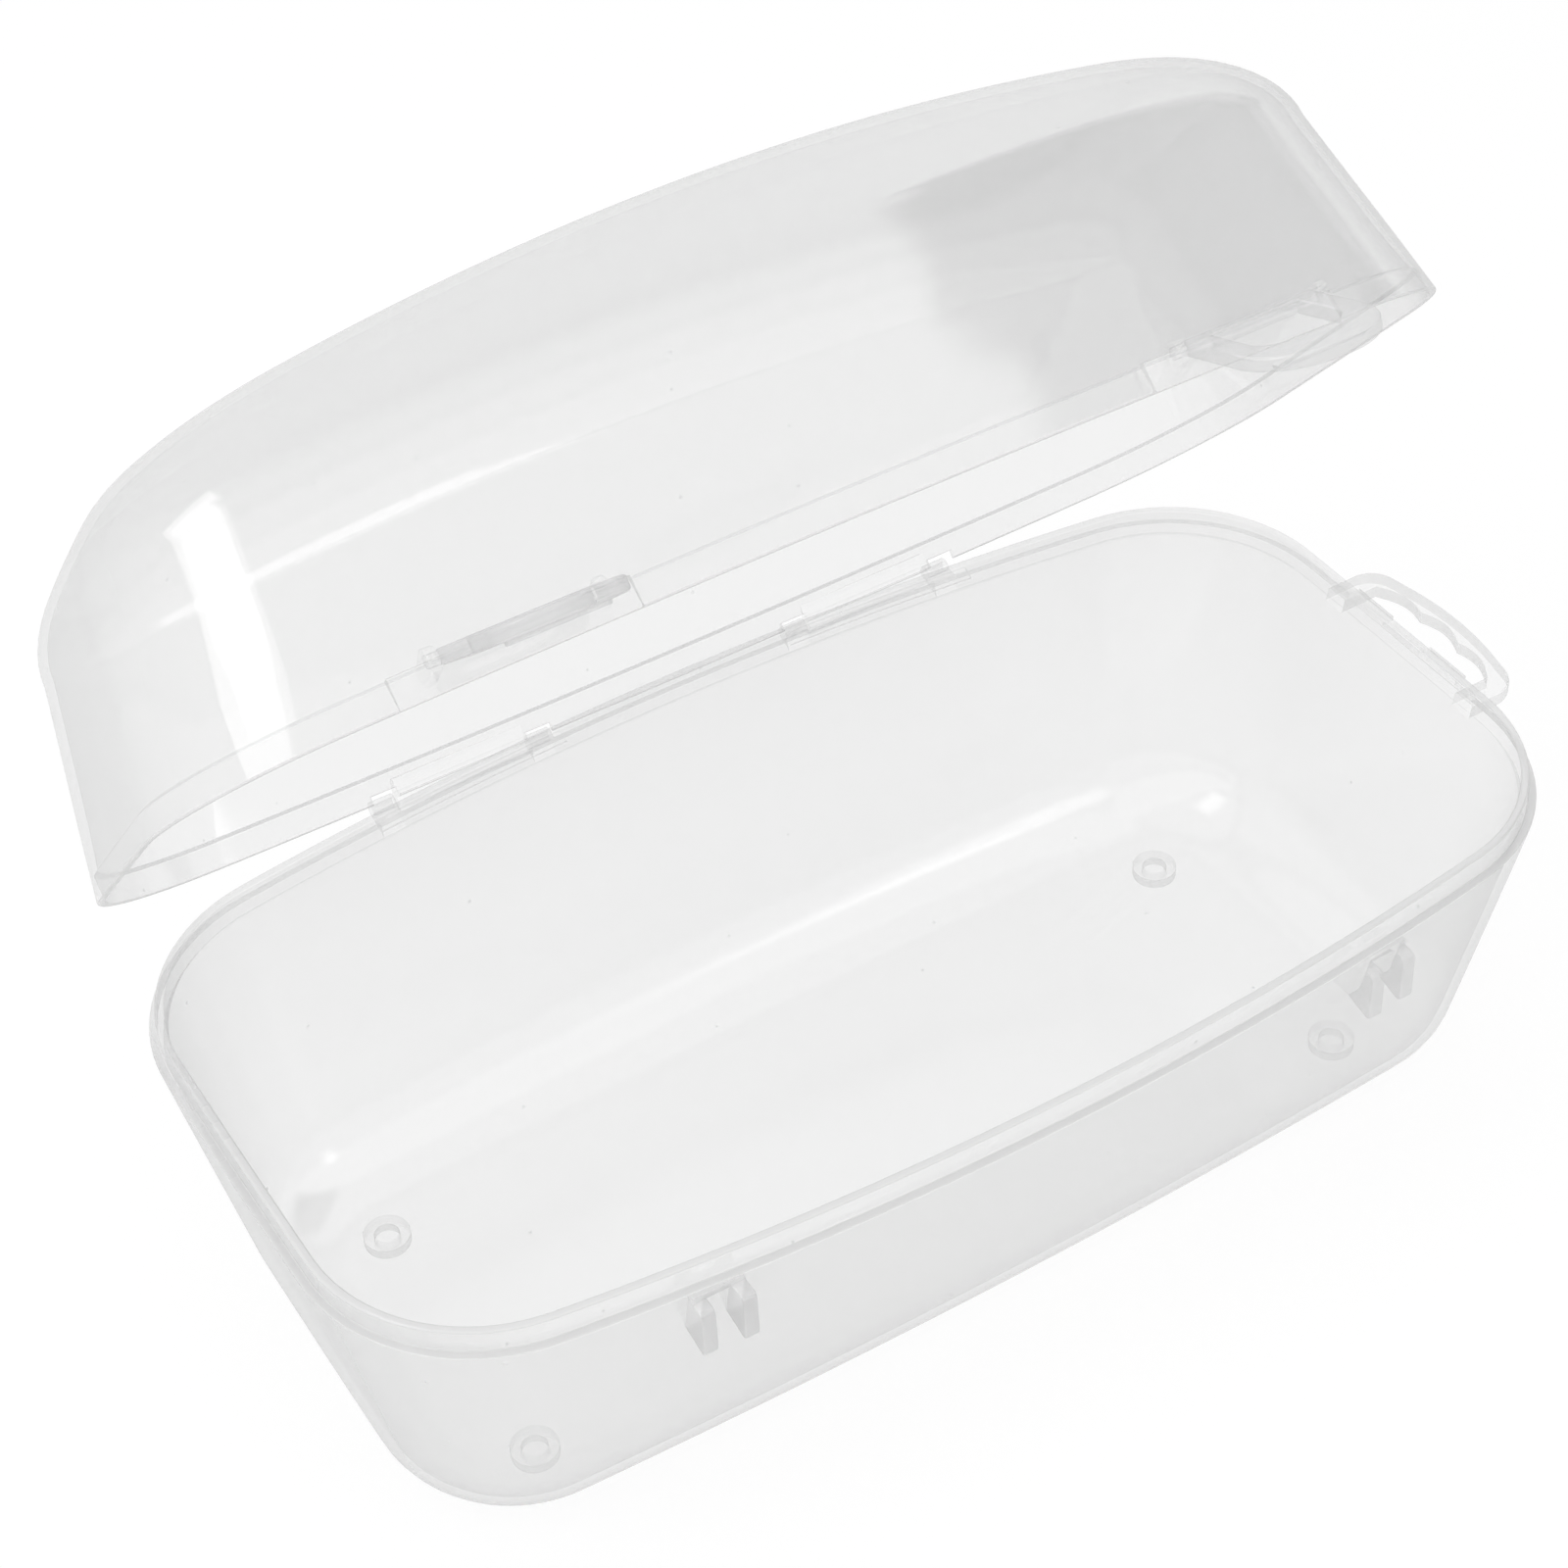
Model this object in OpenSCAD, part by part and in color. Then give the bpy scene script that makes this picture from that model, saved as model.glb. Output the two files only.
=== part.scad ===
// Clear moulded case for a diving mask: a deep tray, a crowned lid on two snap hinges,
// and two swinging ring latches that drop over hooked fins on the front of the tray.
// Millimetres, +Z up, -Y is the latch side. The origin is on the table, in the middle of the tray's feet.

/* [Case] */
// length of the tray and the lid at their joint
case_len = 210; // [150:1:300]
// width of the tray and the lid at their joint, in the middle of the long sides
case_w = 114.4; // [90:0.2:180]
// wall of every moulded shell
wall = 1.4; // [1:0.1:2.5]
// corner radius of the joint outline
corner_r = 29.5; // [20:0.5:40]
// radius of the outward bow of the long sides
side_bow_r = 555; // [300:5:2000]
// radius of the outward bow of the two ends
end_bow_r = 3000; // [500:50:6000]

/* [Tray] */
// height of the tray, from its underside to the top of its rim
tray_h = 59.4; // [40:0.2:90]
// how much narrower each end is at the bottom
end_taper = 10; // [4:0.5:16]
// how much narrower each long side is at the bottom
side_taper = 15.3; // [6:0.1:20]
// radius of the bow of the long sides at the bottom
foot_bow_r = 2000; // [600:50:6000]
// corner radius at the bottom, before the edge is rounded
foot_corner_r = 21; // [16:0.5:30]
// radius of the edge between the walls and the floor
bottom_r = 12.5; // [8:0.5:15]
// height of the upright rim that the lid slips over
rim_h = 3.8; // [2.5:0.1:6]
// width of the shoulder that the lid stands on
shoulder_w = 1.4; // [1:0.05:2]

/* [Feet] */
// distance between the feet along the case
foot_dx = 150.8; // [100:0.2:170]
// distance between the feet across the case
foot_dy = 49.6; // [30:0.2:60]
// radius of a ring foot
foot_r = 3.8; // [2.5:0.1:6]
// radius of the hollow in a ring foot
foot_hole_r = 2.1; // [1:0.1:3]
// height of a ring foot
foot_h = 2; // [1:0.1:4]

/* [Lid] */
// height of the lid above the shoulder, in the middle of its roof
lid_h = 55.8; // [35:0.2:80]
// radius of the roof's crown along the case
roof_bow_r = 500; // [300:10:1500]
// radius of the roof's crown across the case
roof_cross_r = 900; // [400:50:3000]
// how far the lid's wall leans in before it turns into the roof
lid_lean = 5.6; // [3:0.1:9]
// horizontal reach of the rounded edge between wall and roof
roof_edge_w = 17.8; // [10:0.2:20]
// share of the lid's height above the skirt where that rounded edge starts
roof_edge_start = 0.66; // [0.4:0.01:0.8]
// height of the skirt that stands outside the tray's rim
skirt_h = 4.5; // [4.4:0.1:8]
// play between the skirt and the tray's rim
skirt_play = 0.15; // [0.1:0.05:0.4]
// angle of the lid in the photographed pose
lid_open = 48.8; // [0:0.1:90]

/* [Hinges] */
// distance of each hinge's middle from the middle of the case
hinge_x = 38; // [30:0.5:60]
// length of one hinge
hinge_len = 32; // [20:0.5:40]
// distance of the hinge line behind the joint outline
hinge_out = 0.5; // [0:0.1:2]
// drop of the hinge line below the shoulder
hinge_drop = 0.3; // [0:0.1:1]
// radius of the moulded hinge pins
hinge_pin_r = 0.8; // [0.5:0.05:0.9]
// radius of the hinge barrels
barrel_r = 1.5; // [1.4:0.05:2.4]
// length of one tray knuckle
knuckle_len = 4; // [3:0.1:6]
// thickness of the strip that stiffens the rim's inner face at each hinge
hinge_strip_t = 0.5; // [0.3:0.1:1]
// height of that strip
hinge_strip_h = 2.6; // [1.5:0.1:3]

/* [Latches] */
// distance of each latch's middle from the middle of the case
latch_x = 57.2; // [50:0.1:64]
// width of a ring latch
latch_w = 22.2; // [19:0.2:28]
// length of a ring latch, from its pivot to its free end
latch_len = 22.2; // [20:0.2:28]
// thickness of a ring latch
latch_t = 2.2; // [2:0.1:3]
// corner radius at the free end
latch_r = 10.4; // [5:0.2:11]
// width of the window that drops over the fins
window_w = 14.4; // [12:0.2:17]
// corner radius of the window at the free end
window_r = 4.6; // [2:0.1:6]
// height of the bar between the pivot's axis and the window
window_top = 1.4; // [1.2:0.1:3]
// room between the window's low edge and the fins' lowest points
catch_play = 0.4; // [0.3:0.1:1]
// thickness of the grip ridge behind the end bar
grip_t = 0.6; // [0.4:0.1:1.5]
// height of the grip ridge
grip_h = 2; // [1:0.1:3]
// radius of the latch's pivot
pivot_r = 0.9; // [0.6:0.05:1]
// height of the pivot above the shoulder
pivot_up = 3.9; // [3.6:0.1:6]
// distance of the pivot in front of the joint outline, at the middle of the case
pivot_out = 0.2; // [0.1:0.1:2]
// thickness of a pivot lug
lug_t = 1.6; // [1.2:0.1:3]
// plastic of a pivot lug around the pivot
lug_wall = 1; // [0.8:0.1:1.6]
// thickness of the raised pad behind each latch
pad_t = 0.5; // [0.3:0.1:0.6]
// length of the raised pad behind each latch
pad_len = 34; // [30:0.5:40]
// opening angle of the left latch in the photographed pose
latch_open_left = 82; // [0:1:150]
// opening angle of the right latch in the photographed pose
latch_open_right = 62; // [0:1:150]

/* [Fins] */
// thickness of a hooked fin
fin_t = 2.3; // [1.5:0.1:3]
// distance between the two fins of a pair, middle to middle
fin_pitch = 6.2; // [5:0.1:9]
// reach of a fin in front of the shoulder
fin_out = 3.1; // [2:0.1:3.2]
// height of a fin's front edge
fin_h = 8.9; // [6:0.1:9]
// height of the bar that ties a pair of fins under the shoulder
fin_bar_h = 1.35; // [1:0.05:2]
// rise of a fin's hooked underside towards the wall
fin_hook = 1.4; // [0.6:0.1:2]

/* [Carry loop] */
// distance of the loop's middle below the shoulder
loop_drop = 3.2; // [2.5:0.1:6]
// thickness of the loop
loop_t = 2.6; // [2:0.1:4]
// length of the loop along the end of the case
loop_len = 36.6; // [30:0.2:44]
// reach of the loop beyond the end of the case
loop_out = 11.7; // [9:0.1:15]
// width of the loop's band at its middle
loop_band = 2.4; // [2:0.1:4]
// radius of the loop's outer bow
loop_bow_r = 52; // [40:1:80]
// radius of the loop's outer corners
loop_corner_r = 5; // [3:0.5:6]
// depth of the scallops along the finger side
scallop_d = 1.1; // [0.5:0.1:2]
// distance between the scallops
scallop_pitch = 9.4; // [8:0.2:11]
// reach of the two short lips above the loop
lip_out = 2.1; // [1:0.1:3]
// length of each short lip
lip_len = 8.8; // [6:0.2:10]

/* [Hidden] */
$fn = 48;

half_len = case_len / 2;
half_w = case_w / 2;
shoulder_z = foot_h + tray_h - rim_h;
rim_top_z = foot_h + tray_h;
eps = 0.01;

// segments of one quarter of an outline: end, corner, long side
END_SEG = 2;
CORNER_SEG = 11;
SIDE_SEG = 6;
EDGE_SEG = 6;

pin_play = 0.05;
seat_gap = 0.3;

clear_plastic = [0.86, 0.9, 0.92, 0.55];

// a quarter of a rounded rectangle whose long sides and ends bow out: three arcs that meet smoothly
function corner_centre(a, b, re, rs, r) =
    let (c1 = [0, b - rs], c2 = [a - re, 0], p = rs - r, q = re - r,
         d = norm(c2 - c1), u = (c2 - c1) / d, v = [-u[1], u[0]],
         x = (p * p - q * q + d * d) / (2 * d), h = sqrt(max(p * p - x * x, 0)),
         m = c1 + u * x + v * h, n = c1 + u * x - v * h)
    m[0] + m[1] > n[0] + n[1] ? m : n;

function arc(c, r, from, to, n) =
    [for (i = [0 : n - 1]) let (t = from + (to - from) * i / n) c + r * [cos(t), sin(t)]];

function quarter(a, b, re, rs, r) =
    let (m = corner_centre(a, b, re, rs, r),
         t_end = atan2(m[1], m[0] - (a - re)),
         t_side = atan2(m[1] - (b - rs), m[0]))
    concat(arc([a - re, 0], re, 0, t_end, END_SEG),
           arc(m, r, t_end, t_side, CORNER_SEG),
           arc([0, b - rs], rs, t_side, 90, SIDE_SEG),
           [[0, b]]);

function outline(a, b, re, rs, r) =
    let (q = quarter(a, b, re, rs, r), n = len(q) - 1)
    concat([for (i = [0 : n - 1]) q[i]],
           [for (i = [n : -1 : 1]) [-q[i][0], q[i][1]]],
           [for (i = [0 : n - 1]) -q[i]],
           [for (i = [n : -1 : 1]) [q[i][0], -q[i][1]]]);

// the joint outline, moved in by e
function joint_outline(e) =
    outline(half_len - e, half_w - e, end_bow_r - e, side_bow_r - e, corner_r - e);

// distance of the joint outline's long side from the middle plane at x
function side_y(x) = half_w - side_bow_r + sqrt(side_bow_r * side_bow_r - x * x);

// a closed shell from rings that run from one middle point, over the edges, to the other
function ring_faces(n, k) =
    [for (j = [0 : k - 2], i = [0 : n - 1])
        let (a = 1 + j * n + i, b = 1 + j * n + (i + 1) % n)
        each [[a, b + n, b], [a, a + n, b + n]]];

module shell(first, rings, last) {
    n = len(rings[0]);
    k = len(rings);
    top = 1 + k * n;
    polyhedron(
        points = concat([first], [for (ring = rings) each ring], [last]),
        faces = concat(
            [for (i = [0 : n - 1]) [0, 1 + i, 1 + (i + 1) % n]],
            ring_faces(n, k),
            [for (i = [0 : n - 1]) [top, top - n + (i + 1) % n, top - n + i]]),
        convexity = 6);
}

// Tray

// share of the way down from the shoulder to the tray's underside
function depth_share(z) = min(1, max(0, (shoulder_z - z) / (shoulder_z - foot_h)));

function tray_ring(z, e) =
    let (u = depth_share(z),
         rs = 1 / (1 / side_bow_r + (1 / foot_bow_r - 1 / side_bow_r) * u))
    [for (p = outline(half_len - end_taper * u - e, half_w - side_taper * u - e,
                      end_bow_r - e, rs - e, corner_r + (foot_corner_r - corner_r) * u - e))
        [p[0], p[1], z]];

// distance of the tray's outer long wall from the middle plane, at x and z below the shoulder
function tray_side_y(x, z) =
    let (u = depth_share(z),
         rs = 1 / (1 / side_bow_r + (1 / foot_bow_r - 1 / side_bow_r) * u))
    half_w - side_taper * u - rs + sqrt(rs * rs - x * x);

// distance of the tray's outer end wall from the middle plane, at z below the shoulder
function tray_end_x(z) = half_len - end_taper * depth_share(z);

// rounded bottom edge of a surface that lies t inside the outer one, from the wall to the floor
function bottom_edge(t) =
    [for (i = [0 : EDGE_SEG])
        let (a = 90 * i / EDGE_SEG, r = bottom_r - t)
        tray_ring(foot_h + bottom_r - r * sin(a), t + r * (1 - cos(a)))];

module tray_shell() {
    rim_in = shoulder_w + wall;
    jog_z = shoulder_z - 0.6;
    outer = bottom_edge(0);
    inner = bottom_edge(wall);
    rings = concat(
        [for (i = [EDGE_SEG : -1 : 0]) outer[i]],
        [tray_ring(shoulder_z, 0),
         tray_ring(shoulder_z, shoulder_w),
         tray_ring(rim_top_z - 0.3, shoulder_w),
         tray_ring(rim_top_z, shoulder_w + 0.3),
         tray_ring(rim_top_z, rim_in - 0.3),
         tray_ring(rim_top_z - 0.3, rim_in),
         tray_ring(jog_z, rim_in),
         tray_ring(jog_z - shoulder_w, wall)],
        inner);
    shell([0, 0, foot_h], rings, [0, 0, foot_h + wall]);
}

module foot() {
    difference() {
        cylinder(r = foot_r, h = foot_h + wall / 2);
        translate([0, 0, -1]) cylinder(r = foot_hole_r, h = foot_h + 1);
    }
}

module feet() {
    for (x = [-foot_dx / 2, foot_dx / 2], y = [-foot_dy / 2, foot_dy / 2])
        translate([x, y, 0]) foot();
}

// a plate in the plane across the case, from a list of [distance in front of the middle, z]
module front_plate(x, t, points) {
    translate([x - t / 2, 0, 0])
        rotate([90, 0, 90])
            linear_extrude(t) polygon([for (p = points) [-p[0], p[1]]]);
}

module fin(x) {
    front = side_y(x) + fin_out;
    top = shoulder_z - fin_bar_h;
    low = top - fin_h;
    root_z = low + fin_hook;
    soft = 0.8;
    front_plate(x, fin_t, [
        [tray_side_y(x, shoulder_z) - wall / 2, shoulder_z - wall / 2],
        [side_y(x) - 0.2, top],
        [front - soft, top],
        [front, top - soft],
        [front, low + soft],
        [front - soft, low],
        [tray_side_y(x, root_z) - wall / 2, root_z]]);
}

// the bar is a straight block whose face stands just proud of the bowed shoulder
module fin_bar(x) {
    length = fin_pitch + fin_t;
    face = side_y(x) + 0.35;
    front_plate(x, length, [
        [face - wall, shoulder_z - 0.2],
        [face, shoulder_z - 0.2],
        [face, shoulder_z - fin_bar_h],
        [face - wall, shoulder_z - fin_bar_h - 0.6]]);
}

module fin_pair(side) {
    x = side * latch_x;
    fin(x - fin_pitch / 2);
    fin(x + fin_pitch / 2);
    fin_bar(x);
}

// Carry loop

loop_z = shoulder_z - loop_drop;
loop_tip = half_len + loop_out;
loop_half = loop_len / 2;

// outer edge of the loop: a shallow bow between two rounded corners
function loop_bow_x(y) = loop_tip - loop_bow_r + sqrt(loop_bow_r * loop_bow_r - y * y);

function loop_outer() =
    let (r = loop_corner_r, y0 = loop_half - r, x0 = loop_bow_x(y0) - r)
    concat([[half_len - wall, -loop_half]],
           [for (i = [0 : 6]) let (t = -90 + 80 * i / 6) [x0 + r * cos(t), -y0 + r * sin(t)]],
           [for (i = [-4 : 4]) let (y = y0 * i / 5) [loop_bow_x(y), y]],
           [for (i = [6 : -1 : 0]) let (t = 90 - 80 * i / 6) [x0 + r * cos(t), y0 + r * sin(t)]],
           [[half_len - wall, loop_half]]);

// finger side of the band, with its scallops
function loop_inner_x(y) =
    loop_bow_x(y) - loop_band - scallop_d * (1 - abs(cos(180 * y / scallop_pitch)));

module carry_loop() {
    half = scallop_pitch * 1.5;
    steps = 36;
    translate([0, 0, loop_z - loop_t / 2])
        linear_extrude(loop_t)
            difference() {
                polygon(loop_outer());
                polygon(concat(
                    [for (i = [0 : steps]) let (y = half * (2 * i / steps - 1)) [loop_inner_x(y), y]],
                    [[half_len - wall - 1, half], [half_len - wall - 1, -half]]));
            }
    for (side = [-1, 1])
        translate([half_len - wall, side * (scallop_pitch / 2 + lip_len / 2) - lip_len / 2, shoulder_z - 1.2])
            cube([wall + lip_out, lip_len, 1.2]);
}

// the loop's arms stop inside the end wall, so the hollow of the tray stays clear
module loop_on_wall() {
    difference() {
        carry_loop();
        translate([0, 0, loop_z - loop_t])
            linear_extrude(loop_drop + loop_t + 1)
                polygon(outline(tray_end_x(loop_z + loop_t / 2) - wall / 2, half_w, end_bow_r, side_bow_r, corner_r));
    }
}

// Hinges

hinge_y = half_w + hinge_out;
hinge_z = shoulder_z - hinge_drop;
knuckle_gap = 0.3;
knuckle_x = hinge_len / 2 - knuckle_len / 2;
lid_barrel_len = hinge_len - 2 * knuckle_len - 2 * knuckle_gap;

module along_x(x, length) {
    translate([x - length / 2, hinge_y, hinge_z]) rotate([0, 90, 0]) children();
}

// a block in the plane across the case, from a list of [y, z]
module back_plate(x, t, points) {
    translate([x - t / 2, 0, 0]) rotate([90, 0, 90]) linear_extrude(t) polygon(points);
}

module tray_knuckle(x) {
    along_x(x, knuckle_len) cylinder(r = barrel_r, h = knuckle_len);
    back_plate(x, knuckle_len, [
        [hinge_y, hinge_z - barrel_r],
        [hinge_y, hinge_z],
        [hinge_y - barrel_r, shoulder_z - eps],
        [side_y(x) - wall / 2, shoulder_z - eps],
        [tray_side_y(x, hinge_z - 2 * barrel_r) - wall / 2, hinge_z - 2 * barrel_r]]);
}

// a low strip on the rim's inner face, a little longer at its foot
module tray_hinge_strip(x) {
    rim_in = shoulder_w + wall;
    top = rim_top_z - 0.4;
    half = hinge_len / 2;
    intersection() {
        translate([0, 0, top - hinge_strip_h]) linear_extrude(hinge_strip_h) difference() {
            polygon(joint_outline(rim_in - wall / 2));
            polygon(joint_outline(rim_in + hinge_strip_t));
        }
        translate([x, case_w, 0])
            rotate([90, 0, 0])
                linear_extrude(case_w) polygon([
                    [-half - 1, top - hinge_strip_h],
                    [half + 1, top - hinge_strip_h],
                    [half, top],
                    [-half, top]]);
    }
}

module tray_hinge(x) {
    for (side = [-1, 1]) tray_knuckle(x + side * knuckle_x);
    tray_hinge_strip(x);
}

module tray_hinge_cuts(x) {
    hollow_r = barrel_r + seat_gap;
    along_x(x, lid_barrel_len + 2 * knuckle_gap)
        cylinder(r = hollow_r, h = lid_barrel_len + 2 * knuckle_gap);
    along_x(x, hinge_len + 2) cylinder(r = hinge_pin_r + pin_play, h = hinge_len + 2);
}

module tray() {
    color(clear_plastic)
        difference() {
            union() {
                tray_shell();
                feet();
                for (side = [-1, 1]) fin_pair(side);
                loop_on_wall();
                for (side = [-1, 1]) tray_hinge(side * hinge_x);
            }
            for (side = [-1, 1]) tray_hinge_cuts(side * hinge_x);
        }
}

// Lid, drawn closed

// height of the roof above the shoulder at x and y
function roof_z(x, y) = lid_h - x * x / (2 * roof_bow_r) - y * y / (2 * roof_cross_r);

// a ring of the lid: e in from the joint outline, share g of the way from the skirt to the roof
function lid_ring(e, g, t) =
    let (top_share = (skirt_h + g * (lid_h - skirt_h)) / lid_h)
    [for (p = outline(half_len - e, half_w - e, end_bow_r, side_bow_r, corner_r - 0.3 * e - 1.4 * top_share))
        [p[0], p[1], shoulder_z + skirt_h + g * (roof_z(p[0], p[1]) - skirt_h) - t]];

// the outer wall leans in from the skirt's foot without a step
skirt_lean = lid_lean * skirt_h / (skirt_h + roof_edge_start * (lid_h - skirt_h));

function skirt_ring(e, z) = [for (p = joint_outline(e)) [p[0], p[1], shoulder_z + z]];

// the leaning wall and the rounded edge of the roof, as a surface t inside the outer one
function lid_wall(t) =
    let (wall_seg = 3)
    concat(
        [for (i = [0 : wall_seg])
            let (s = i / wall_seg)
            lid_ring(skirt_lean + (lid_lean - skirt_lean) * s + t, roof_edge_start * s, 0)],
        [for (i = [1 : EDGE_SEG])
            let (a = 90 * i / EDGE_SEG)
            lid_ring(lid_lean + roof_edge_w * (1 - cos(a)) + t * cos(a),
                     roof_edge_start + (1 - roof_edge_start) * sin(a), t * sin(a))]);

// the crowned roof inside the rounded edge, drawn in towards its middle
function roof_rings(t) =
    let (edge = lid_ring(lid_lean + roof_edge_w, 1, 0))
    [for (s = [0.8, 0.6, 0.4, 0.2])
        [for (p = edge) [p[0] * s, p[1] * s, shoulder_z + roof_z(p[0] * s, p[1] * s) - t]]];

module lid_shell() {
    inner_step = shoulder_w - skirt_play;
    outer = concat(lid_wall(0), roof_rings(0));
    inner = concat(lid_wall(wall), roof_rings(wall));
    rings = concat(
        [for (i = [len(inner) - 1 : -1 : 1]) inner[i]],
        [skirt_ring(skirt_lean + wall, skirt_h),
         skirt_ring(inner_step, rim_h + seat_gap),
         skirt_ring(inner_step, 0),
         skirt_ring(0, 0)],
        outer);
    shell([0, 0, shoulder_z + roof_z(0, 0) - wall], rings, [0, 0, shoulder_z + roof_z(0, 0)]);
}

// what stays between the skirt's inner face and the world, so nothing grows into the tray's rim
module outside_rim() {
    difference() {
        children();
        translate([0, 0, shoulder_z - 20])
            linear_extrude(40) polygon(joint_outline(shoulder_w - skirt_play - 0.1));
    }
}

module lid_hinge(x) {
    along_x(x, lid_barrel_len) cylinder(r = barrel_r, h = lid_barrel_len);
    along_x(x, hinge_len) cylinder(r = hinge_pin_r, h = hinge_len);
    outside_rim()
        back_plate(x, lid_barrel_len, [
            [hinge_y, hinge_z],
            [hinge_y, hinge_z + barrel_r],
            [hinge_y - barrel_r, shoulder_z + 2 * barrel_r],
            [half_w - 8, shoulder_z + 2 * barrel_r],
            [half_w - 8, shoulder_z + eps],
            [hinge_y - barrel_r, shoulder_z + eps]]);
}

// notches in the skirt that clear the tray's knuckles
module lid_hinge_cuts(x) {
    for (side = [-1, 1])
        translate([x + side * knuckle_x - knuckle_len / 2 - knuckle_gap, half_w - 10, shoulder_z - 1])
            cube([knuckle_len + 2 * knuckle_gap, 20, 1 + barrel_r - hinge_drop + seat_gap]);
}

pivot_y = -(half_w + pivot_out);
pivot_z = shoulder_z + pivot_up;
lug_x = latch_w / 2 + seat_gap + lug_t / 2;
lug_r = pivot_r + lug_wall;

// how deep the pads and lugs root in the leaning skirt
root_depth = 0.4;

module latch_pad(x) {
    intersection() {
        translate([0, 0, shoulder_z]) linear_extrude(skirt_h) difference() {
            polygon(joint_outline(-pad_t));
            polygon(joint_outline(skirt_lean + root_depth));
        }
        translate([x - pad_len / 2, -case_w, shoulder_z]) cube([pad_len, case_w, skirt_h]);
    }
}

module pivot_lug(x) {
    root = side_y(x) - skirt_lean - root_depth;
    translate([x - lug_t / 2, pivot_y, pivot_z]) rotate([0, 90, 0]) cylinder(r = lug_r, h = lug_t);
    front_plate(x, lug_t, [
        [-pivot_y, pivot_z - lug_r],
        [-pivot_y, pivot_z + lug_r],
        [root, pivot_z + 0.2],
        [root, pivot_z - lug_r - 1]]);
}

module lid_latch_mount(x) {
    latch_pad(x);
    difference() {
        for (side = [-1, 1]) pivot_lug(x + side * lug_x);
        translate([x - latch_w, pivot_y, pivot_z])
            rotate([0, 90, 0]) cylinder(r = pivot_r + pin_play, h = 2 * latch_w);
    }
}

module open_lid() {
    translate([0, hinge_y, hinge_z]) rotate([-lid_open, 0, 0]) translate([0, -hinge_y, -hinge_z]) children();
}

module lid() {
    color(clear_plastic)
        open_lid()
            difference() {
                union() {
                    lid_shell();
                    for (side = [-1, 1]) lid_hinge(side * hinge_x);
                    for (side = [-1, 1]) lid_latch_mount(side * latch_x);
                }
                for (side = [-1, 1]) lid_hinge_cuts(side * hinge_x);
            }
}

// Ring latches, drawn hanging from their pivot

// the fins' lowest points pass inside the window when the latch hangs
window_low = pivot_up + fin_bar_h + fin_h + catch_play;

// a plate that is straight at the pivot and rounded at its free end
function ring_outline(w, top, low, r) =
    concat([[w / 2, -top]],
           [for (i = [0 : 8]) let (t = -90 * i / 8) [w / 2 - r + r * cos(t), -low + r + r * sin(t)]],
           [for (i = [0 : 8]) let (t = -90 - 90 * i / 8) [-w / 2 + r + r * cos(t), -low + r + r * sin(t)]],
           [[-w / 2, -top]]);

module flat_plate(t, points) {
    translate([0, t / 2, 0]) rotate([90, 0, 0]) linear_extrude(t) polygon(points);
}

module ring_latch() {
    pivot_len = latch_w + 2 * (seat_gap + lug_t);
    bar_r = latch_t / 2;
    difference() {
        flat_plate(latch_t, ring_outline(latch_w, 0, latch_len, latch_r));
        flat_plate(latch_t + 2, ring_outline(window_w, window_top, window_low, window_r));
    }
    translate([-latch_w / 2, 0, 0]) rotate([0, 90, 0]) cylinder(r = bar_r, h = latch_w);
    translate([-pivot_len / 2, 0, 0]) rotate([0, 90, 0]) cylinder(r = pivot_r, h = pivot_len);
    translate([-window_w / 2, latch_t / 2 - eps, -window_low - grip_h])
        cube([window_w, grip_t + eps, grip_h]);
}

module placed_latch(x, angle) {
    color(clear_plastic)
        open_lid()
            translate([x, pivot_y, pivot_z]) rotate([-angle, 0, 0]) ring_latch();
}

module latch_left() {
    placed_latch(-latch_x, latch_open_left);
}

module latch_right() {
    placed_latch(latch_x, latch_open_right);
}

tray();
lid();
latch_left();
latch_right();
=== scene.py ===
import math
import bmesh
import bpy
from mathutils import Matrix, Vector


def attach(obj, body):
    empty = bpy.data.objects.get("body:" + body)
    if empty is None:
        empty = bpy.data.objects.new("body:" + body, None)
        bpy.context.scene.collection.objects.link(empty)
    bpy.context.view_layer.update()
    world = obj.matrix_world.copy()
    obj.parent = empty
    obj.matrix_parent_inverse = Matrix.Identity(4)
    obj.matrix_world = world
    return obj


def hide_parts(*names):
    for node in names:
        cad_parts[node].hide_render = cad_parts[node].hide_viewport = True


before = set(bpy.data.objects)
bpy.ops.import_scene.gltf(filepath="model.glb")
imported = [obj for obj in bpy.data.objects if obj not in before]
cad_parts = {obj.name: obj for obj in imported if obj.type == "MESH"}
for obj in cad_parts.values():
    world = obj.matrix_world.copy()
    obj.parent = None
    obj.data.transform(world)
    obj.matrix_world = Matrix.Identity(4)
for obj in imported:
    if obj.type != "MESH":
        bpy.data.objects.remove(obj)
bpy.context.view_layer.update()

# Sizes of the case in millimetres, as the solids have them, and first its outline at the joint

HALF_LEN = 105.0
HALF_W = 57.2
WALL = 1.4
CORNER_R = 29.5
SIDE_BOW = 555.0
END_BOW = 3000.0

# Tray, rim and feet

TRAY_H = 59.4
END_TAPER = 10.0
SIDE_TAPER = 15.3
FOOT_BOW = 2000.0
FOOT_CORNER_R = 21.0
BOTTOM_R = 12.5
RIM_H = 3.8
SHOULDER_W = 1.4
FOOT_DX = 75.4
FOOT_DY = 24.8
FOOT_R = 3.8
FOOT_HOLE_R = 2.1
FOOT_H = 2.0

# Lid, roof and skirt; the opening is in degrees

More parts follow.
